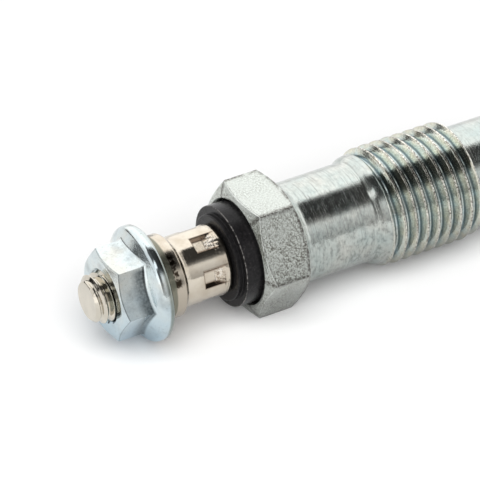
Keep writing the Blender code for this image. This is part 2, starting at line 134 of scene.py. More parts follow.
def build_studio():
    """World: the screens for reflections, set by the angle from straight up towards the camera's
    side, an even light for matt surfaces, where the lamp gives the rest, and white for the camera."""
    world = bpy.data.worlds.new("studio")
    bpy.context.scene.world = world
    world.use_nodes = True
    tree = world.node_tree
    tree.nodes.clear()
    direction = add_node(tree, "ShaderNodeTexCoord", {}).outputs["Generated"]
    parts = add_node(tree, "ShaderNodeSeparateXYZ", {"Vector": direction}).outputs
    towards = calculate(tree, "MULTIPLY", parts["Y"], -1.0)
    turn = within(tree, calculate(tree, "ARCTAN2", towards, parts["Z"]), -np.pi, np.pi)
    left, far_left, reflected, right = (
        ramp(tree, turn, [((edge + 1) / 2, level / SCREEN_PEAK) for edge, level in screen])
        for screen in (LEFT_SCREEN, FAR_LEFT_SCREEN, MIDDLE_SCREEN, RIGHT_SCREEN)
    )
    # Each side screen takes over between two values of the direction's X
    for low, high, screen in ((-0.1, -0.35, left), (-0.76, -0.84, far_left), (0.66, 0.76, right)):
        reflected = mix(tree, within(tree, parts["X"], low, high), reflected, screen)
    rays = add_node(tree, "ShaderNodeLightPath", {}).outputs
    light = mix(tree, rays["Is Diffuse Ray"], reflected, EVEN_LIGHT / SCREEN_PEAK)
    lit = add_node(tree, "ShaderNodeBackground", {"Color": light, "Strength": SCREEN_PEAK})
    white = add_node(tree, "ShaderNodeBackground", {"Color": (1, 1, 1, 1), "Strength": 1.0})
    seen = {0: rays["Is Camera Ray"], 1: lit.outputs[0], 2: white.outputs[0]}
    mixed = add_node(tree, "ShaderNodeMixShader", seen)
    add_node(tree, "ShaderNodeOutputWorld", {"Surface": mixed.outputs[0]})


def build_table():
    """A flat matt square at height 0, plain white to the camera and in reflections."""
    xs, ys = np.meshgrid([-TABLE_HALF, TABLE_HALF], [-TABLE_HALF, TABLE_HALF])
    corners = np.stack((xs, ys, np.zeros_like(xs)), axis=-1).reshape(-1, 3)
    mesh = bpy.data.meshes.new("table")
    mesh.from_pydata(corners.tolist(), [], [[0, 1, 3, 2]])
    finish = bpy.data.materials.new("white_table")
    finish.use_nodes = True
    tree = finish.node_tree
    tree.nodes.clear()
    rays = add_node(tree, "ShaderNodeLightPath", {}).outputs
    seen = calculate(tree, "MAXIMUM", rays["Is Camera Ray"], rays["Is Glossy Ray"])
    white = within(tree, seen, 0.0, 1.0, TABLE_WHITE, 1.0)
    matt = add_node(tree, "ShaderNodeBsdfDiffuse", {"Color": white})
    add_node(tree, "ShaderNodeOutputMaterial", {"Surface": matt.outputs[0]})
    mesh.materials.append(finish)
    add_object("table", mesh)


def build_lamp():
    """A large soft lamp high in front of the plug, left out of reflections, that gives the shadow."""
    lamp = bpy.data.lights.new("top_light", "AREA")
    lamp.shape = "DISK"
    lamp.size = 1.2
    lamp.energy = 10.1
    holder = add_object("top_light", lamp)
    holder.location = (-0.25, -0.43, 0.72)
    holder.rotation_euler = (0.514, -0.334, 0.0)
    holder.visible_glossy = False
    holder.visible_camera = False


def build_camera():
    """A long lens 36 degrees above the table, with the plug's axis running away to the right. Its
    place and its two directions were fitted to edges in the photograph."""
    camera = bpy.data.cameras.new("camera")
    camera.sensor_width = 36.0
    camera.lens = 262.5
    camera.clip_start = 0.01
    camera.clip_end = 20.0
    holder = add_object("camera", camera)
    forward = np.array((0.39974, 0.70153, -0.58997))
    right = np.array((0.86885, -0.49508, 0.0))
    up = np.cross(right, forward)
    turn = np.eye(4)
    turn[:3, :3] = np.column_stack((right, up, -forward))
    turn[:3, 3] = (-0.152538, -0.234551, 0.204454)
    holder.matrix_world = Matrix(turn.tolist())
    bpy.context.scene.camera = holder


build_studio()
build_table()
build_lamp()
build_camera()


# Plug body
# The shell that screws into the cylinder head: a 12 mm hexagon, a plain shank, a rolled M12 x 1.25
# thread, a lower shank and a cone seat. Turned and rolled from steel bar, then zinc plated.

STUD_FACE_X = -35.416
AXIS_HEIGHT = 6.0
SOCKET_RADIUS = 5.2
SOCKET_FLOOR = 17.95
HEX_FRONT = 16.05
HEX_REAR = 21.0
HEX_HALF_WIDTH = 6.0
HEX_FACE_RADIUS = 5.6
HEX_FILLET_RADIUS = 5.42
CHAMFER_SLOPE = np.tan(np.radians(27))
SHANK_RADIUS = 5.05
SHANK_END = 28.95
RUN_IN_FRONT = 29.45
RUN_IN_REAR = 29.8
THREAD_FRONT = 30.2
THREAD_REAR = 40.6
THREAD_PITCH = 1.25
THREAD_LAND_RADIUS = 5.55
THREAD_CREST_RADIUS = 5.95
THREAD_DEPTH = 0.76
THREAD_CREST_SHARE = 0.63
LOWER_RADIUS = 5.02
CONE_START = 47.0
NOSE_RADIUS = 3.3
NOSE_END = 48.632
TUBE_SEAT_START = 35.582
TUBE_SEAT_RADIUS = 2.55
CORE_RADIUS = 2.8
SEAL_SEAT_END = 21.05
SEAL_SEAT_RADIUS = 3.55
BODY_COLUMNS = 192


def around_axis(station, radius, angle):
    """Points on the plug, in mm: a station counted along the axis from the end of the stud, a
    radius from the axis, and an angle that turns from +Y towards +Z."""
    station, radius, angle = np.broadcast_arrays(station, radius, angle)
    return np.stack(
        (station + STUD_FACE_X, radius * np.cos(angle), AXIS_HEIGHT + radius * np.sin(angle)),
        axis=-1,
    )


def softened(outline, steps=4):
    """Rows of a turned outline. It lists (station, radius, softness) in mm, where the station and
    radius may vary round the axis. Each corner P becomes the parabola from P + t u to P + t v,
    with u and v along its two edges and t its softness, and has one more row close by on each
    side, so that flats stay flat in the shading."""
    corners = np.array(
        [np.stack(np.broadcast_arrays(s, r, np.zeros(BODY_COLUMNS))[:2]) for s, r, _ in outline]
    )
    rows = [corners[:1]]
    for place, (_, _, softness) in list(enumerate(outline))[1:-1]:
        corner = corners[place]
        back = corners[place - 1] - corner
        ahead = corners[place + 1] - corner
        back_length = np.linalg.norm(back, axis=0)
        ahead_length = np.linalg.norm(ahead, axis=0)
        reach = np.minimum(softness, 0.4 * np.minimum(back_length, ahead_length))
        u = back / back_length * reach
        v = ahead / ahead_length * reach
        t = np.linspace(0, 1, steps + 1)[:, None, None]
        curve = corner + u * (1 - t) ** 2 + v * t**2
        rows += [(corner + 1.2 * u)[None], curve, (corner + 1.2 * v)[None]]
    rows.append(corners[-1:])
    return np.concatenate(rows)


def skin(points, shift=0):
    """Quads of a grid that closes round the axis. The last column joins the first one, on the row
    that lies shift rows further on, as the turns of a helix do."""
    rows, columns = points.shape[:2]
    number = np.arange(rows * columns).reshape(rows, columns)
    number = np.column_stack((number, np.roll(number[:, 0], -shift)))
    quads = np.stack((number[:-1, :-1], number[:-1, 1:], number[1:, 1:], number[1:, :-1]), axis=-1)
    if shift:
        quads[-shift:, -1] = quads[-shift:, -1, :1]
    return points.reshape(-1, 3), quads.reshape(-1, 4)


def turned(rows, angle):
    """Skin of turned rows, each a station and a radius."""
    return skin(around_axis(rows[:, 0], rows[:, 1], angle))


def make_piece(name, skins, finish, node, marks=None):
    """One closed mesh from grids in mm. Points that fall together to 0.0001 mm become one corner,
    and a quad that has lost a side becomes a triangle. Marks are numbers for each point of the
    first grids, kept as attributes for the finish."""
    points = np.concatenate([grid for grid, _ in skins])
    starts = np.cumsum([0] + [len(grid) for grid, _ in skins[:-1]])
    quads = np.concatenate([faces + start for (_, faces), start in zip(skins, starts)])
    keys = np.floor(points * 1e4 + 0.123).astype(np.int64)
    _, first, number = np.unique(keys, axis=0, return_index=True, return_inverse=True)
    quads = number.reshape(-1)[quads]
    same = quads == np.roll(quads, -1, axis=1)
    whole = quads[~same.any(axis=1)]
    lost = quads[same.sum(axis=1) == 1]
    side = same[same.sum(axis=1) == 1].argmax(axis=1)
    rows = np.arange(len(lost))[:, None]
    triangles = lost[rows, (side[:, None] + np.arange(1, 4)) % 4]
    mesh = bpy.data.meshes.new(name)
    mesh.from_pydata((points[first] * 0.001).tolist(), [], whole.tolist() + triangles.tolist())
    for mark, values in (marks or {}).items():
        column = np.zeros(len(points))
        column[: values.size] = values.ravel()
        layer = mesh.attributes.new(mark, "FLOAT", "POINT")
        layer.data.foreach_set("value", column[first].astype(np.float32))
    mesh.shade_smooth()
    mesh.set_sharp_from_angle(angle=np.radians(50))
    mesh.materials.append(finish)
    piece = add_object(name, mesh)
    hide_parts(node)
    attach(piece, "root")


def even_angles(columns):
    """Angles round the axis in equal steps."""
    return np.arange(columns) * 2 * np.pi / columns


def crowded_angles(columns):
    """Angles round the axis, closer together at the six corners of a hexagon: t - 0.55 sin 6t / 6."""
    t = even_angles(columns)
    return t - 0.55 * np.sin(6 * t) / 6


def hexagon(half_width, angle):
    """Distance from the axis to a hexagon's side: half its width over the cosine of the angle
    from the middle of that side."""
    return half_width / np.cos(np.mod(angle, np.pi / 3) - np.pi / 6)


def from_corner(half_width, angle):
    """Distance from a hexagon's nearest corner: half its width times the angle from that corner."""
    return np.abs(np.mod(angle + np.pi / 6, np.pi / 3) - np.pi / 6) * half_width


def thread_turn():
    """One pitch of a metric thread from the middle of a crest to the next: shares of the pitch,
    and heights from 0 in the rounded root to 1 on the crest. The flanks stand at 60 degrees."""
    crest = THREAD_CREST_SHARE
    half_crest = 0.0625
    outline = [
        (crest - 1.0, 1.0, 0.0),
        (crest - 1.0 + half_crest, 1.0, 0.05),
        (crest - 0.5, -0.24, 0.5),
        (crest - half_crest, 1.0, 0.05),
        (crest, 1.0, 0.0),
    ]
    rows = softened(outline, steps=6)[:, :, 0]
    return rows[:, 0], rows[:, 1]


def helix_rows(turn, pitch, front, rear, angle):
    """Stations of a thread's rows. Each row follows the helix station = start + pitch angle / 2 pi,
    and is held at the front and rear rings where it would run past them."""
    shares, heights = turn
    steps = np.arange(-2, np.ceil((rear - front) / pitch) + 1)
    starts = (steps[:, None] + shares).reshape(-1, 1)
    stations = np.clip(front + pitch * (starts + angle / (2 * np.pi)), front, rear)
    return stations, np.tile(heights, len(steps))[:, None], np.tile(shares, len(steps))[:, None]


def build_body_mesh(finish):
    """Hexagon, shank, thread, lower shank, cone and bores: outlines turned round the axis, with
    the thread's outline carried along its helix."""
    angle = crowded_angles(BODY_COLUMNS)
    side = hexagon(HEX_HALF_WIDTH, angle)
    chamfer = (side - HEX_FACE_RADIUS) * CHAMFER_SLOPE
    front = softened([
        (SOCKET_FLOOR, SOCKET_RADIUS, 0.0),
        (HEX_FRONT + 0.2, SOCKET_RADIUS, 0.03),
        (HEX_FRONT, SOCKET_RADIUS + 0.2, 0.03),
        (HEX_FRONT, HEX_FACE_RADIUS, 0.03),
        (HEX_FRONT + chamfer, side, 0.05),
        (HEX_REAR - chamfer, side, 0.05),
        (HEX_REAR, HEX_FACE_RADIUS, 0.03),
        (HEX_REAR, HEX_FILLET_RADIUS, 0.05),
        (HEX_REAR + 0.6, SHANK_RADIUS, 0.25),
        (SHANK_END, SHANK_RADIUS, 0.12),
        (RUN_IN_FRONT, 5.4, 0.16),
        (RUN_IN_REAR, 5.5, 0.1),
        (THREAD_FRONT, THREAD_LAND_RADIUS, 0.0),
    ])
    turn = thread_turn()
    stations, heights, shares = helix_rows(turn, THREAD_PITCH, THREAD_FRONT, THREAD_REAR, angle)
    crest = np.interp(
        stations,
        (THREAD_FRONT, 30.26, 30.6, 31.1, 31.6, 40.1, 40.45, THREAD_REAR),
        (
            THREAD_LAND_RADIUS, 5.66, 5.86, 5.92,
            THREAD_CREST_RADIUS, THREAD_CREST_RADIUS, 5.75, LOWER_RADIUS,
        ),
    )
    depth = THREAD_DEPTH * np.interp(
        stations, (THREAD_FRONT, 30.55, 40.2, THREAD_REAR), (0.0, 1.0, 1.0, 0.0)
    )
    inside = (stations > THREAD_FRONT) & (stations < THREAD_REAR)
    radii = crest - depth * (1 - heights)
    rear = softened([
        (THREAD_REAR, LOWER_RADIUS, 0.0),
        (CONE_START, LOWER_RADIUS, 0.25),
        (NOSE_END, NOSE_RADIUS, 0.08),
        (NOSE_END, TUBE_SEAT_RADIUS, 0.05),
        (TUBE_SEAT_START, TUBE_SEAT_RADIUS, 0.05),
        (TUBE_SEAT_START - 0.3, CORE_RADIUS, 0.05),
        (SEAL_SEAT_END, CORE_RADIUS, 0.05),
        (SEAL_SEAT_END, SEAL_SEAT_RADIUS, 0.05),
        (SOCKET_FLOOR, SEAL_SEAT_RADIUS, 0.05),
        (SOCKET_FLOOR, SOCKET_RADIUS, 0.0),
    ])
    spiral = around_axis(stations, radii, angle)
    skins = [skin(spiral, shift=len(turn[0])), turned(front, angle), turned(rear, angle)]
    across = (front[:, 0] - HEX_FRONT - chamfer) / (HEX_REAR - HEX_FRONT - 2 * chamfer)
    to_corner = np.tile(from_corner(HEX_HALF_WIDTH, angle), (len(across), 1))
    spiral_rows = np.zeros(stations.shape)
    marks = {
        "thread": inside * depth / THREAD_DEPTH,
        "thread_height": inside * heights,
        "rear_flank": inside * np.sin(2 * np.pi * (shares - THREAD_CREST_SHARE)),
        "to_corner": np.concatenate((spiral_rows, to_corner)),
        "across_flat": np.concatenate((spiral_rows, across)),
    }
    make_piece(
        "plug_body_turned", skins, finish, "plug_body", marks
    )


def new_finish(name, color, metallic, roughness):
    """A Principled material: its tree, its shader and its Object coordinates."""
    finish = bpy.data.materials.new(name)
    finish.use_nodes = True
    tree = finish.node_tree
    shader = tree.nodes["Principled BSDF"]
    shader.inputs["Base Color"].default_value = (*color, 1.0)
    shader.inputs["Metallic"].default_value = metallic
    shader.inputs["Roughness"].default_value = roughness
    place = add_node(tree, "ShaderNodeTexCoord", {}).outputs["Object"]
    return finish, tree, shader, place


def in_mm(tree, place):
    """A point's station along the plug and its height above the table, in mm."""
    scaled = add_node(
        tree,
        "ShaderNodeMapping",
        {"Vector": place, "Scale": (1000.0, 1000.0, 1000.0), "Location": (-STUD_FACE_X, 0.0, 0.0)},
    )
    parts = add_node(tree, "ShaderNodeSeparateXYZ", {"Vector": scaled.outputs[0]}).outputs
    return parts["X"], parts["Z"]


def noise(tree, place, scale, detail=3.0, stretch=(1.0, 1.0, 1.0), roughness=0.55):
    """Smooth noise from 0 to 1, with features 1/scale metres wide, stretched along the axes."""
    mapped = add_node(tree, "ShaderNodeMapping", {"Vector": place, "Scale": stretch})
    made = add_node(
        tree,
        "ShaderNodeTexNoise",
        {
            "Vector": mapped.outputs[0],
            "Scale": scale,
            "Detail": detail,
            "Roughness": roughness,
        },
    )
    return made.outputs["Fac"]


def multiplied(tree, one, other):
    """One colour times another."""
    return mix(tree, 1.0, one, other, "MULTIPLY")


def product(tree, first, *others):
    """One number times each of the others."""
    for other in others:
        first = calculate(tree, "MULTIPLY", first, other)
    return first


def bump(tree, heights, depth, under=None):
    """Relief of a depth in thousandths of a mm, from heights of 0 to 1, laid over another relief."""
    inputs = {"Height": heights, "Distance": depth * 1e-6, "Strength": 1.0}
    if under is not None:
        inputs["Normal"] = under
    return add_node(tree, "ShaderNodeBump", inputs).outputs["Normal"]


def attribute(tree, name):
    """A number kept on the mesh."""
    return add_node(tree, "ShaderNodeAttribute", {}, attribute_name=name).outputs["Fac"]


def hexagon_tone(tree, height, clouds, patches, grain, speckle):
    """The hexagon's speckled grey, calmer on its top flat, which lightens that flat as painted light.
    It has dark smudges beside its corners and along its rear edge, and behind its front chamfer a
    painted highlight line and a dark grainy line."""
    # Painted light: the speckle is weaker on the top flat, which lightens it
    amount = product(
        tree, within(tree, clouds, 0.35, 0.6, 1.0, 0.45), within(tree, height, 11.3, 11.7, 1.0, 0.4)
    )
    tone = multiplied(tree, (0.555, 0.585, 0.55), mix(tree, amount, 1.0, speckle))
    across = attribute(tree, "across_flat")
    beside_corner = within(tree, attribute(tree, "to_corner"), 0.08, 0.35, 1.0, 0.0)
    dark_edge_marks = product(
        tree,
        calculate(tree, "MAXIMUM", beside_corner, within(tree, across, 0.9, 0.98)),
        within(tree, patches, 0.34, 0.46),
        within(tree, grain, 0.45, 0.6, 1.0, 0.3),
    )
    tone = mix(tree, dark_edge_marks, tone, (0.10, 0.09, 0.08))
    behind_chamfer = within(tree, across, -0.04, 0.06)
    # Painted highlight: a pale line just behind the front chamfer, broken by patches
    pale_edge_line = ramp(tree, behind_chamfer, [(0.25, 0.0), (0.32, 1.0), (0.4, 1.0), (0.43, 0.0)])
    pale_edge_line = product(tree, pale_edge_line, within(tree, patches, 0.35, 0.65, 0.0, 0.8))
    tone = mix(tree, pale_edge_line, tone, (0.85, 0.88, 0.85))
    dark_grainy_line = ramp(tree, behind_chamfer, [(0.45, 0.0), (0.5, 0.6), (0.65, 0.6), (0.8, 0.0)])
    dark_grainy_line = product(tree, dark_grainy_line, within(tree, grain, 0.4, 0.6, 1.0, 0.2))
    return mix(tree, dark_grainy_line, tone, (0.18, 0.18, 0.17))


def flank_tone(tree, thread_height, front, patches, wear):
    """The thread's flanks: front ones tinted by height, from a blue root to a straw crest with
    painted shade in a dark band just above the root, and grey rear ones."""
    # Painted shade: the dark blue stops just above the root
    tints_and_painted_shade = ramp(
        tree,
        thread_height,
        [
            (0.04, 0.50, 0.56, 0.56),
            (0.1, 0.19, 0.25, 0.27),
            (0.22, 0.21, 0.28, 0.30),
            (0.36, 0.58, 0.66, 0.64),
            (0.6, 0.78, 0.81, 0.74),
            (1.0, 0.70, 0.69, 0.60),
        ],
    )
    drift = ramp(
        tree, patches, [(0.35, 0.90, 0.97, 1.0), (0.5, 0.97, 0.98, 0.97), (0.65, 1.0, 0.97, 0.90)]
    )
    tone = mix(tree, front, (0.60, 0.63, 0.59), multiplied(tree, tints_and_painted_shade, drift))
    return multiplied(tree, tone, wear)


def zinc_plated_steel():
    """Bright zinc: a mottled shank with turning lines round the axis, a grainy hexagon, and a
    thread with tinted flanks and rubbed crests. All of it is darker low down, as painted shade."""
    finish, tree, shader, place = new_finish("zinc_plated_steel", (0.66, 0.69, 0.66), 1.0, 0.24)
    station, height = in_mm(tree, place)
    lines = noise(tree, place, 7000.0, 4.0, (1.0, 0.03, 0.03), 0.75)
    wide_lines = noise(tree, place, 1500.0, 2.0, (1.0, 0.05, 0.05))
    grain = noise(tree, place, 6000.0, roughness=0.75)
    clouds = noise(tree, place, 420.0)
    patches = noise(tree, place, 900.0, 2.0)
    mottle = noise(tree, place, 2600.0, 4.0, (1.0, 0.6, 0.6), 0.7)
    streaks = ramp(tree, lines, [(0.34, 0.76), (0.46, 0.99), (0.65, 1.04)])
    speckle = ramp(
        tree, grain, [(0.40, 0.20, 0.18, 0.16), (0.47, 0.62, 0.59, 0.56), (0.53, 1.05), (0.64, 1.3)]
    )
    hexagon_zone = within(tree, station, HEX_REAR - 0.034, HEX_REAR + 0.116, 1.0, 0.0)
    thread = attribute(tree, "thread")
    thread_height = attribute(tree, "thread_height")
    front = within(tree, attribute(tree, "rear_flank"), -0.3, 0.3, 1.0, 0.0)
    root = product(tree, thread, within(tree, thread_height, 0.12, 0.32, 1.0, 0.0))
    crest = product(tree, thread, within(tree, thread_height, 0.95, 0.98))

    tone = ramp(tree, clouds, [(0.3, 0.47, 0.53, 0.51), (0.7, 0.56, 0.57, 0.53)])
    mottled = multiplied(tree, tone, ramp(tree, mottle, [(0.38, 0.62), (0.5, 0.92), (0.62, 1.06)]))
    tone = mix(tree, within(tree, height, 7.5, 9.5, 1.0, 0.35), tone, mottled)
    tone = multiplied(tree, tone, streaks)
    speckled = hexagon_tone(tree, height, clouds, patches, grain, speckle)
    tone = mix(tree, hexagon_zone, tone, speckled)
    wear = mix(tree, 0.3, streaks, speckle)
    tone = mix(tree, thread, tone, flank_tone(tree, thread_height, front, patches, wear))
    tone = mix(tree, crest, tone, multiplied(tree, (0.66, 0.655, 0.60), speckle))
    # Painted shade: darker low down, to 0.6 of the tone
    tone = multiplied(tree, tone, within(tree, height, 3.0, 8.5, 0.6, 1.0))
    tree.links.new(tone, shader.inputs["Base Color"])

    rough = mix(tree, hexagon_zone, 0.12, 0.24)
    rough = mix(tree, thread, rough, mix(tree, front, 0.06, 0.05))
    rough = mix(tree, crest, rough, 0.13)
    rough = mix(tree, root, rough, 0.11)
    rough = calculate(tree, "ADD", rough, within(tree, wide_lines, 0.3, 0.7, -0.04, 0.06))
    tree.links.new(rough, shader.inputs["Roughness"])

    turning = product(
        tree,
        lines,
        within(tree, hexagon_zone, 0.0, 1.0, 1.0, 0.2),
        within(tree, thread, 0.0, 1.0, 1.0, 0.5),
    )
    relief = bump(tree, turning, 22.0)
    pits = within(tree, hexagon_zone, 0.0, 1.0, 0.1, 0.5)
    pits = calculate(tree, "MAXIMUM", pits, product(tree, root, 0.4))
    relief = bump(tree, product(tree, grain, pits), 50.0, relief)
    tree.links.new(relief, shader.inputs["Normal"])
    return finish


build_body_mesh(zinc_plated_steel())


# Terminal pin
# The centre electrode, a nickel plated steel pin. Its M5 stud comes through the nut, and its
# thinner lower end reaches into the glow tube and carries the regulating coil.

STUD_RADIUS = 2.45
STUD_FACE_RADIUS = 1.84
STUD_PITCH = 0.8
STUD_DEPTH = 0.488
STUD_END = 7.35
PIN_RADIUS = 2.1
PIN_END = 33.882
CORE_PIN_START = 34.732
CORE_PIN_RADIUS = 1.25
SPIGOT_START = 54.567
SPIGOT_RADIUS = 0.75
SPIGOT_END = 57.167


def build_pin_mesh(finish):
    """Flat stud face, M5 thread on its helix cut back by a 45 degree chamfer, and the plain pin."""
    angle = even_angles(BODY_COLUMNS)
    face = softened([
        (0.0, 0.0, 0.0),
        (0.0, STUD_FACE_RADIUS - 0.03, 0.01),
        (0.0, STUD_FACE_RADIUS, 0.0),
    ])
    turn = thread_turn()
    stations, heights, _ = helix_rows(turn, STUD_PITCH, 0.0, STUD_END, angle)
    radii = STUD_RADIUS - STUD_DEPTH * (1 - heights)
    radii = np.minimum(radii, STUD_FACE_RADIUS + stations)
    blend = np.clip((STUD_END - stations) / STUD_PITCH, 0, 1)
    radii = PIN_RADIUS + (radii - PIN_RADIUS) * blend
    rear = softened([
        (STUD_END, PIN_RADIUS, 0.0),
        (PIN_END, PIN_RADIUS, 0.1),
        (CORE_PIN_START, CORE_PIN_RADIUS, 0.1),
        (SPIGOT_START, CORE_PIN_RADIUS, 0.05),
        (SPIGOT_START, SPIGOT_RADIUS, 0.05),
        (SPIGOT_END, SPIGOT_RADIUS, 0.1),
        (SPIGOT_END, 0.0, 0.0),
    ])
    spiral = around_axis(stations, radii, angle)
    skins = [skin(spiral, shift=len(turn[0])), turned(face, angle), turned(rear, angle)]
    make_piece(
        "terminal_pin_threaded", skins, finish, "terminal_pin"
    )


def bright_nickel():
    """Warm bright nickel with fine lines round the axis and a few cloudy patches."""
    finish, tree, shader, place = new_finish("nickel_plated_pin", (0.62, 0.58, 0.50), 1.0, 0.07)
    clouds = noise(tree, place, 600.0)
    tone = ramp(tree, clouds, [(0.35, 0.5456, 0.5104, 0.44), (0.65, 0.62, 0.58, 0.50)])
    tree.links.new(tone, shader.inputs["Base Color"])
    lines = noise(tree, place, 8000.0, 3.0, (1.0, 0.02, 0.02), 0.7)
    relief = bump(tree, lines, 3.0)
    relief = bump(tree, noise(tree, place, 900.0, 2.0), 12.0, relief)
    tree.links.new(relief, shader.inputs["Normal"])
    return finish


build_pin_mesh(bright_nickel())


# Flange nut
# An M5 hexagon nut, 8 mm across flats, in one piece with its conical flange. It clamps the supply
# lead's terminal on the sleeve. Pressed and tapped steel with blue-white zinc plating.

NUT_FRONT = 1.7
NUT_REAR = 6.4
NUT_HALF_WIDTH = 4.0
NUT_FACE_RADIUS = 3.8
NUT_BORE = 2.5
NUT_TURN = np.radians(1.5)
FLANGE_RADIUS = 5.75
FLANGE_RIM_FRONT = 5.4
FLANGE_SLOPE = np.tan(np.radians(28))
RIM_REFLECTION_START = 5.866


def build_nut_mesh(finish):
    """Chamfered hexagon that runs down into a cone and a thin rim, with a countersunk bore."""
    angle = crowded_angles(BODY_COLUMNS)
    side = hexagon(NUT_HALF_WIDTH, angle)
    chamfer = (side - NUT_FACE_RADIUS) * CHAMFER_SLOPE
    foot = FLANGE_RIM_FRONT - (FLANGE_RADIUS - side) * FLANGE_SLOPE
    rows = softened([
        (NUT_FRONT + 1.5, NUT_BORE, 0.0),
        (NUT_FRONT + 0.3, NUT_BORE, 0.03),
        (NUT_FRONT, NUT_BORE + 0.3, 0.04),
        (NUT_FRONT, NUT_FACE_RADIUS, 0.05),
        (NUT_FRONT + chamfer, side, 0.08),
        (foot, side, 0.42),
        (FLANGE_RIM_FRONT, FLANGE_RADIUS, 0.5),
        (NUT_REAR, FLANGE_RADIUS, 0.4),
        (NUT_REAR, NUT_BORE + 0.3, 0.04),
        (NUT_REAR - 0.3, NUT_BORE, 0.04),
        (NUT_FRONT + 1.5, NUT_BORE, 0.0),
    ])
    skins = [turned(rows, angle + NUT_TURN)]
    marks = {
        "to_corner": np.tile(from_corner(NUT_HALF_WIDTH, angle), (len(rows), 1)),
        "across_flat": (rows[:, 0] - NUT_FRONT - chamfer) / (foot - NUT_FRONT - chamfer),
    }
    make_piece("flange_nut_plated", skins, finish, "flange_nut", marks)


def blue_zinc():
    """Blue-white zinc, bluer and darker low on the nut as a painted reflection, with grey clouds and
    dark smudges, a dark line at the front chamfer, painted shade at the foot of each flat, and a
    painted dark greenish reflection at the back of the rim."""
    finish, tree, shader, place = new_finish("blue_zinc", (0.50, 0.56, 0.58), 1.0, 0.1)
    station, height = in_mm(tree, place)
    clouds = noise(tree, place, 380.0)
    grain = noise(tree, place, 4200.0, 4.0, roughness=0.7)
    tone = ramp(
        tree, clouds, [(0.3, 0.56, 0.64, 0.67), (0.5, 0.62, 0.68, 0.68), (0.7, 0.62, 0.63, 0.59)]
    )
    # Painted reflection: bluer and darker low on the nut
    tone = mix(tree, within(tree, height, 0.5, 8.0, 1.0, 0.0), tone, (0.33, 0.46, 0.55))
    smudges = noise(tree, place, 500.0, 4.0, roughness=0.6)
    smudges = ramp(tree, smudges, [(0.32, 0.75), (0.48, 1.0)])
    specks = ramp(tree, grain, [(0.3, 0.6), (0.4, 1.0), (0.7, 1.04)])
    tone = multiplied(tree, tone, mix(tree, 0.7, smudges, specks, "MULTIPLY"))
    across = attribute(tree, "across_flat")
    chamfer = ramp(
        tree, within(tree, across, -0.05, 0.1), [(0.3, 0.0), (0.36, 0.8), (0.48, 0.5), (0.7, 0.0)]
    )
    # Painted shade at the foot of each flat, where it meets the flange
    foot = product(
        tree,
        within(tree, across, 0.45, 0.8),
        within(tree, across, 0.98, 1.04, 1.0, 0.0),
        within(tree, attribute(tree, "to_corner"), 0.1, 1.6, 1.0, 0.8),
        within(tree, height, 9.6, 9.9, 1.0, 0.1),
    )
    dark_edge_marks = calculate(tree, "MAXIMUM", chamfer, foot)
    dark_edge_marks = product(tree, dark_edge_marks, within(tree, grain, 0.35, 0.6, 1.0, 0.7))
    tone = mix(tree, dark_edge_marks, tone, (0.04, 0.06, 0.07))
    # Painted reflection: a dark greenish band round the back of the rim
    rim_dark_reflection = product(
        tree,
        within(tree, station, RIM_REFLECTION_START - 0.1, RIM_REFLECTION_START + 0.1),
        within(tree, height, 10.5, 11.5, 0.7, 0.2),
    )
    tone = mix(tree, rim_dark_reflection, tone, (0.11, 0.12, 0.085))
    tree.links.new(tone, shader.inputs["Base Color"])
    tree.links.new(within(tree, clouds, 0.3, 0.7, 0.08, 0.18), shader.inputs["Roughness"])
    relief = bump(tree, grain, 6.0)
    relief = bump(tree, noise(tree, place, 700.0, 2.0), 8.0, relief)
    tree.links.new(relief, shader.inputs["Normal"])
    return finish


build_nut_mesh(blue_zinc())


# Crimped sleeve
# A nickel plated steel sleeve with a collar under the nut. Six wedge-shaped punches dent its lower
# end, which locks the insulating washer on the pin.

SLEEVE_FRONT = 6.45
SLEEVE_REAR = 13.9
SLEEVE_RADIUS = 3.53
SLEEVE_ROUNDING = 0.45
COLLAR_RADIUS = 4.16
COLLAR_END = 8.716
FLANGE_REFLECTION_END = 7.491
SCUFF_REFLECTION_END = 8.016
SLEEVE_BORE = 2.15
RECESS_RADIUS = SLEEVE_BORE + 0.35
BARREL_START = 10.4
DENT_TURN = np.radians(49)
DENT_FLOOR_RADIUS = 3.03
DENT_HALF_WIDTH = 0.625
DENT_FRONT = 10.95
DENT_FRONT_SLOPE = 0.3
DENT_FLOOR_END = 12.05
DENT_RAMP = 2.5
DENT_SIDE_LEAN = 0.7
DENT_INNER_ROUNDING = 0.03
DENT_LIP_ROUNDING = 0.04
DENT_WALL_FADE = 0.4
DENT_LIP_FADE = 0.45
OUT_OF_REACH = 9.0
RIB_HEIGHT = 0.018
RIB_LENGTH = 0.21
CRUMPLE_STATION = 12.85
CRUMPLE_LENGTH = 0.33
CRUMPLE_TURN = 0.17
CRUMPLE_SPREAD = 0.15
CRUMPLE_HEIGHT = 0.035
CREASE_LENGTH = 0.41
CREASE_SPREAD = 0.13
SLEEVE_COLUMNS = 480


def lesser(one, other, soft):
    """The smaller of two surfaces, with their meeting rounded over a width of soft."""
    near = np.clip(0.5 + (other - one) / (2 * soft), 0, 1)
    return other + (one - other) * near - soft * near * (1 - near)


def greater(one, other, soft):
    """The larger of two surfaces, rounded in the same way."""
    return -lesser(-one, -other, soft)


def beside_dent(angle):
    """Angle from the middle of the nearest dent."""
    return np.mod(angle - DENT_TURN + np.pi / 6, np.pi / 3) - np.pi / 6


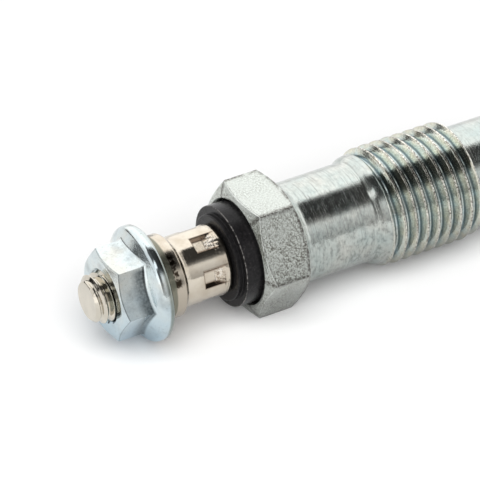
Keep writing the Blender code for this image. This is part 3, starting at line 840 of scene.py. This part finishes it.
def crumpled(station, angle):
    """Height of the creased metal beside each dent's ramp: two crossed waves, whose phase changes
    from dent to dent, under a bell that is highest just past the ramp's lower corner."""
    beside = beside_dent(angle)
    phase = 1.7 * np.floor((angle - DENT_TURN + np.pi / 6) / (np.pi / 3))
    bell = np.exp(
        -(((station - CRUMPLE_STATION) / CRUMPLE_LENGTH) ** 2)
        - ((beside - CRUMPLE_TURN) / CRUMPLE_SPREAD) ** 2
    )
    waves = np.sin(2 * np.pi * station / CREASE_LENGTH + 6 * beside + phase)
    waves = waves + np.sin(2 * np.pi * beside / CREASE_SPREAD - 4 * station + 2 * phase)
    return CRUMPLE_HEIGHT * bell * waves


def dented(barrel, station, angle):
    """Radius of the barrel with its dents. Each dent is the highest of a flat floor, two leaning
    sides, a steep front wall and a long ribbed ramp, all given as the radius that they leave.
    Also returns where its walls are, from 0 to 1, and how far it lies below the barrel."""
    beside = beside_dent(angle)
    floor = DENT_FLOOR_RADIUS / np.cos(beside)
    lean = DENT_SIDE_LEAN * np.cos(beside) - np.abs(np.sin(beside))
    side = np.where(
        lean > 0.02,
        (DENT_SIDE_LEAN * DENT_FLOOR_RADIUS - DENT_HALF_WIDTH) / np.maximum(lean, 0.02),
        OUT_OF_REACH,
    )
    up_ramp = station - DENT_FLOOR_END
    ribs = RIB_HEIGHT * np.sin(2 * np.pi * up_ramp / RIB_LENGTH) * (up_ramp > 0)
    ramp_up = (DENT_FLOOR_RADIUS + up_ramp / DENT_RAMP + ribs) / np.cos(beside)
    wall = (DENT_FLOOR_RADIUS + (DENT_FRONT - station) / DENT_FRONT_SLOPE) / np.cos(beside)
    inside = floor
    for face in (side, ramp_up, wall):
        inside = greater(inside, face, DENT_INNER_ROUNDING)
    steep = np.maximum(side, wall) - np.maximum(floor, ramp_up)
    below = barrel - inside
    walls = np.clip(1 + steep / DENT_WALL_FADE, 0, 1) * np.clip(1 + below / DENT_LIP_FADE, 0, 1)
    return lesser(barrel, inside, DENT_LIP_ROUNDING), walls, np.clip(below, 0, None)


def build_sleeve_mesh(finish):
    """Collar and bore as turned rows, and the dented barrel as a fine grid of radii."""
    angle = even_angles(SLEEVE_COLUMNS)
    end_radius = SLEEVE_RADIUS - SLEEVE_ROUNDING
    front = softened([
        (SLEEVE_FRONT + 1.0, RECESS_RADIUS, 0.0),
        (SLEEVE_FRONT, RECESS_RADIUS, 0.03),
        (SLEEVE_FRONT, COLLAR_RADIUS, 0.12),
        (SLEEVE_FRONT + 2.05, COLLAR_RADIUS, 0.12),
        (SLEEVE_FRONT + 2.42, SLEEVE_RADIUS + 0.12, 0.16),
        (SLEEVE_FRONT + 2.95, SLEEVE_RADIUS, 0.2),
        (BARREL_START, SLEEVE_RADIUS, 0.0),
    ])[:, :, :1]
    barrel_end = SLEEVE_REAR - SLEEVE_ROUNDING
    turn = np.linspace(0, np.pi / 2, 9)[1:]
    stations = np.concatenate((
        np.linspace(BARREL_START, barrel_end, 120),
        barrel_end + SLEEVE_ROUNDING * np.sin(turn),
    ))
    past_end = np.clip(stations - barrel_end, 0, SLEEVE_ROUNDING) / SLEEVE_ROUNDING
    barrel = end_radius + SLEEVE_ROUNDING * np.sqrt(np.clip(1 - past_end**2, 0, 1))
    radii, walls, below = dented(barrel[:, None], stations[:, None], angle)
    radii += crumpled(stations[:, None], angle)
    radii[0] = SLEEVE_RADIUS
    radii[-1] = end_radius
    rear = softened([
        (SLEEVE_REAR, end_radius, 0.0),
        (SLEEVE_REAR, SLEEVE_BORE, 0.04),
        (SLEEVE_FRONT + 1.3, SLEEVE_BORE, 0.04),
        (SLEEVE_FRONT + 1.0, RECESS_RADIUS, 0.0),
    ])[:, :, :1]
    barrel_skin = skin(around_axis(stations[:, None], radii, angle))
    skins = [barrel_skin, turned(front, angle), turned(rear, angle)]
    marks = {"dent_wall": walls, "dent_depth": below}
    make_piece(
        "crimp_sleeve_dented", skins, finish, "crimp_sleeve", marks
    )


def dented_nickel():
    """Warm nickel, torn and brown on the ramps of the dents, with painted shade in dark brown on
    the dent walls and a dark line on the step behind the collar. The collar is darker below its
    top and rougher, with black scuff marks beside the nut that are partly a painted dark
    reflection, and a painted dark greenish reflection of the nut's flange in front of them."""
    finish, tree, shader, place = new_finish("nickel_plated_sleeve", (0.60, 0.54, 0.45), 1.0, 0.06)
    station, height = in_mm(tree, place)
    clouds = noise(tree, place, 600.0)
    blots = noise(tree, place, 1500.0, 4.0, roughness=0.65)
    ragged = calculate(tree, "ADD", station, within(tree, blots, 0.3, 0.7, -0.25, 0.25))
    depth = attribute(tree, "dent_depth")
    ramps = product(
        tree,
        within(tree, depth, 0.02, 0.2),
        within(tree, station, DENT_FLOOR_END - 0.084, DENT_FLOOR_END + 0.066),
    )
    collar = within(tree, station, COLLAR_END - 0.05, COLLAR_END + 0.05, 1.0, 0.0)
    # Front of the collar next to the nut's flange: painted reflection of the flange's dark back, and
    # rougher
    flange_reflection_zone = within(tree, station, FLANGE_REFLECTION_END - 0.075, FLANGE_REFLECTION_END + 0.075, 1.0, 0.0)
    step_dark_line = product(
        tree,
        within(tree, ragged, COLLAR_END - 0.2, COLLAR_END - 0.1),
        within(tree, ragged, COLLAR_END, COLLAR_END + 0.1, 1.0, 0.0),
    )
    # Black scuff marks at the collar's middle heights beside the nut, partly a painted dark
    # reflection
    scuffs_and_dark_reflection = product(
        tree,
        within(tree, ragged, SCUFF_REFLECTION_END - 0.1, SCUFF_REFLECTION_END + 0.1, 1.0, 0.0),
        within(tree, height, 7.0, 7.4),
        within(tree, height, 9.7, 10.0, 1.0, 0.0),
    )

    tone = ramp(tree, clouds, [(0.35, 0.55, 0.485, 0.395), (0.65, 0.65, 0.595, 0.505)])
    torn = ramp(
        tree, blots, [(0.42, 0.16, 0.10, 0.06), (0.5, 0.66, 0.57, 0.46), (0.58, 0.9, 0.85, 0.78)]
    )
    scuff_and_reflection_colors = ramp(tree, blots, [(0.48, 0.04, 0.03, 0.02), (0.54, 0.44, 0.39, 0.32)])
    collar_darker_below_top = product(tree, collar, within(tree, height, 8.3, 9.7, 1.0, 0.0))
    for amount, color in (
        (product(tree, ramps, 0.6), torn),
        # Painted shade on the dent walls
        (product(tree, attribute(tree, "dent_wall"), 0.85), (0.12, 0.07, 0.04)),
        (product(tree, step_dark_line, 0.8), (0.09, 0.06, 0.04)),
        (collar_darker_below_top, (0.46, 0.41, 0.34)),
        # Partly painted dark reflection
        (scuffs_and_dark_reflection, scuff_and_reflection_colors),
        # Painted reflection of the nut flange's dark back
        (product(tree, flange_reflection_zone, 0.85), (0.17, 0.175, 0.135)),
    ):
        tone = mix(tree, amount, tone, color)
    # Painted shade: darker low down, to 0.72 of the tone
    tone = multiplied(tree, tone, within(tree, height, 3.0, 7.5, 0.72, 1.0))
    tree.links.new(tone, shader.inputs["Base Color"])

    rough = within(tree, collar, 0.0, 1.0, 0.06, 0.18)
    rough = calculate(tree, "ADD", rough, product(tree, flange_reflection_zone, 0.2))
    tree.links.new(rough, shader.inputs["Roughness"])
    lines = noise(tree, place, 8000.0, 3.0, (1.0, 0.08, 0.08), 0.7)
    relief = bump(tree, lines, 18.0)
    relief = bump(tree, product(tree, blots, ramps), 130.0, relief)
    tree.links.new(relief, shader.inputs["Normal"])
    return finish


build_sleeve_mesh(dented_nickel())


# Insulating washer
# A moulded black phenolic washer that keeps the sleeve off the body. It has a low boss under the
# sleeve and sits half sunk in the hexagon's socket.

WASHER_FRONT = 13.95
WASHER_RADIUS = 5.08
WASHER_REAR = 17.9
BOSS_RADIUS = 4.3
BOSS_HEIGHT = 0.5
NECK_RADIUS = 3.43
NECK_END = 19.3
BORE_SEAM = 18.5
EDGE_LINE_WIDTH = 0.06


def build_washer_mesh(finish):
    """Boss, disc and neck as turned rows with lightly broken edges."""
    angle = even_angles(BODY_COLUMNS)
    disc_front = WASHER_FRONT + BOSS_HEIGHT
    rows = softened([
        (BORE_SEAM, SLEEVE_BORE, 0.0),
        (WASHER_FRONT, SLEEVE_BORE, 0.04),
        (WASHER_FRONT, BOSS_RADIUS, 0.12),
        (disc_front, BOSS_RADIUS, 0.06),
        (disc_front, WASHER_RADIUS, 0.08),
        (WASHER_REAR, WASHER_RADIUS, 0.05),
        (WASHER_REAR, NECK_RADIUS, 0.05),
        (NECK_END, NECK_RADIUS, 0.05),
        (NECK_END, SLEEVE_BORE, 0.05),
        (BORE_SEAM, SLEEVE_BORE, 0.0),
    ])
    from_edge = np.hypot(rows[:, 0] - disc_front, rows[:, 1] - WASHER_RADIUS)
    marks = {"disc_edge": np.clip(1.6 - from_edge / EDGE_LINE_WIDTH, 0, 1)}
    skins = [turned(rows, angle)]
    make_piece(
        "insulating_washer_moulded", skins, finish, "insulating_washer", marks
    )


def black_phenolic():
    """Moulded black plastic: a fine grain that breaks its soft shine, paler rubbed spots, and a
    pale grey broken line on the disc's edge."""
    finish, tree, shader, place = new_finish("black_phenolic", (0.012, 0.011, 0.012), 0.0, 0.36)
    grain = noise(tree, place, 3600.0, 4.0, roughness=0.7)
    clouds = noise(tree, place, 500.0)
    tone = ramp(
        tree,
        grain,
        [(0.35, 0.006, 0.006, 0.006), (0.6, 0.014, 0.013, 0.014), (0.75, 0.04, 0.037, 0.035)],
    )
    pale_edge_line = product(tree, attribute(tree, "disc_edge"), within(tree, grain, 0.42, 0.58))
    tone = mix(tree, pale_edge_line, tone, (0.22, 0.21, 0.20))
    tree.links.new(tone, shader.inputs["Base Color"])
    shader.inputs["Specular IOR Level"].default_value = 0.14
    tree.links.new(within(tree, clouds, 0.3, 0.7, 0.17, 0.3), shader.inputs["Roughness"])
    tree.links.new(bump(tree, grain, 15.0), shader.inputs["Normal"])
    return finish


build_washer_mesh(black_phenolic())


# Glow tube
# The closed sheath that reaches into the combustion chamber, a drawn tube of heat-resistant alloy
# with a rounded tip, ground and pressed into the body's nose.

TUBE_START = 35.632
TUBE_RADIUS = 2.5
TUBE_BORE = 1.95
TUBE_END = 70.832


def build_tube_mesh(finish):
    """Outside and inside walls as straight rows that close in quarter circles at the tip."""
    angle = even_angles(BODY_COLUMNS)
    quarter = np.linspace(0, np.pi / 2, 24)[:, None]
    dome_start = TUBE_END - TUBE_RADIUS
    straight = np.linspace(TUBE_START, dome_start, 12)[:-1, None]
    outside = np.concatenate((
        around_axis(straight, TUBE_RADIUS, angle),
        around_axis(
            dome_start + TUBE_RADIUS * np.sin(quarter), TUBE_RADIUS * np.cos(quarter), angle
        ),
    ))
    inside = np.concatenate((
        around_axis(
            dome_start + TUBE_BORE * np.sin(quarter[::-1]), TUBE_BORE * np.cos(quarter[::-1]), angle
        ),
        around_axis(straight[::-1], TUBE_BORE, angle),
    ))
    rim = np.stack((inside[-1], outside[0]))
    skins = [skin(outside), skin(inside), skin(rim)]
    make_piece("glow_tube_ground", skins, finish, "glow_tube")


def ground_alloy():
    """Grey nickel alloy with fine grinding lines round the tube and a faint straw tint at the tip."""
    finish, tree, shader, place = new_finish("ground_alloy", (0.5, 0.48, 0.45), 1.0, 0.3)
    station, _ = in_mm(tree, place)
    clouds = noise(tree, place, 300.0)
    tone = ramp(tree, clouds, [(0.3, 0.45, 0.44, 0.42), (0.7, 0.56, 0.54, 0.50)])
    tone = mix(tree, within(tree, station, 61.416, 71.416, 0.0, 0.6), tone, (0.52, 0.46, 0.36))
    tree.links.new(tone, shader.inputs["Base Color"])
    lines = noise(tree, place, 8000.0, 3.0, (1.0, 0.015, 0.015), 0.7)
    tree.links.new(bump(tree, lines, 6.0), shader.inputs["Normal"])
    return finish


build_tube_mesh(ground_alloy())


# Seals, coils and filling
# What the body and the tube hold inside: a rubber ring, a silicone plug, the two wound coils and
# the pressed magnesia powder. None of it shows on the closed plug.


def inner_finish(name, color, metallic, roughness, grain_scale, depth):
    """A plain finish with a fine grain of its own colour."""
    finish, tree, shader, place = new_finish(name, color, metallic, roughness)
    grain = noise(tree, place, grain_scale)
    dark = tuple(0.75 * channel for channel in color)
    tree.links.new(mix(tree, grain, dark, color), shader.inputs["Base Color"])
    tree.links.new(bump(tree, grain, depth), shader.inputs["Normal"])
    return finish


# Each finish is (name, colour, metallic, roughness, grain scale, grain depth)
INNER_FINISHES = {
    "sealing_ring": ("black_rubber", (0.02, 0.02, 0.02), 0.0, 0.6, 3000.0, 10.0),
    "tube_seal": ("red_silicone", (0.35, 0.12, 0.08), 0.0, 0.5, 2500.0, 10.0),
    "regulating_coil": ("nickel_wire", (0.62, 0.60, 0.55), 1.0, 0.3, 6000.0, 4.0),
    "heating_coil": ("heating_wire", (0.48, 0.45, 0.42), 1.0, 0.35, 6000.0, 4.0),
    "magnesia_filling": ("pressed_magnesia", (0.85, 0.84, 0.80), 0.0, 0.9, 4000.0, 20.0),
}

for node_name, settings in INNER_FINISHES.items():
    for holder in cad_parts[node_name].material_slots:
        holder.material = inner_finish(*settings)
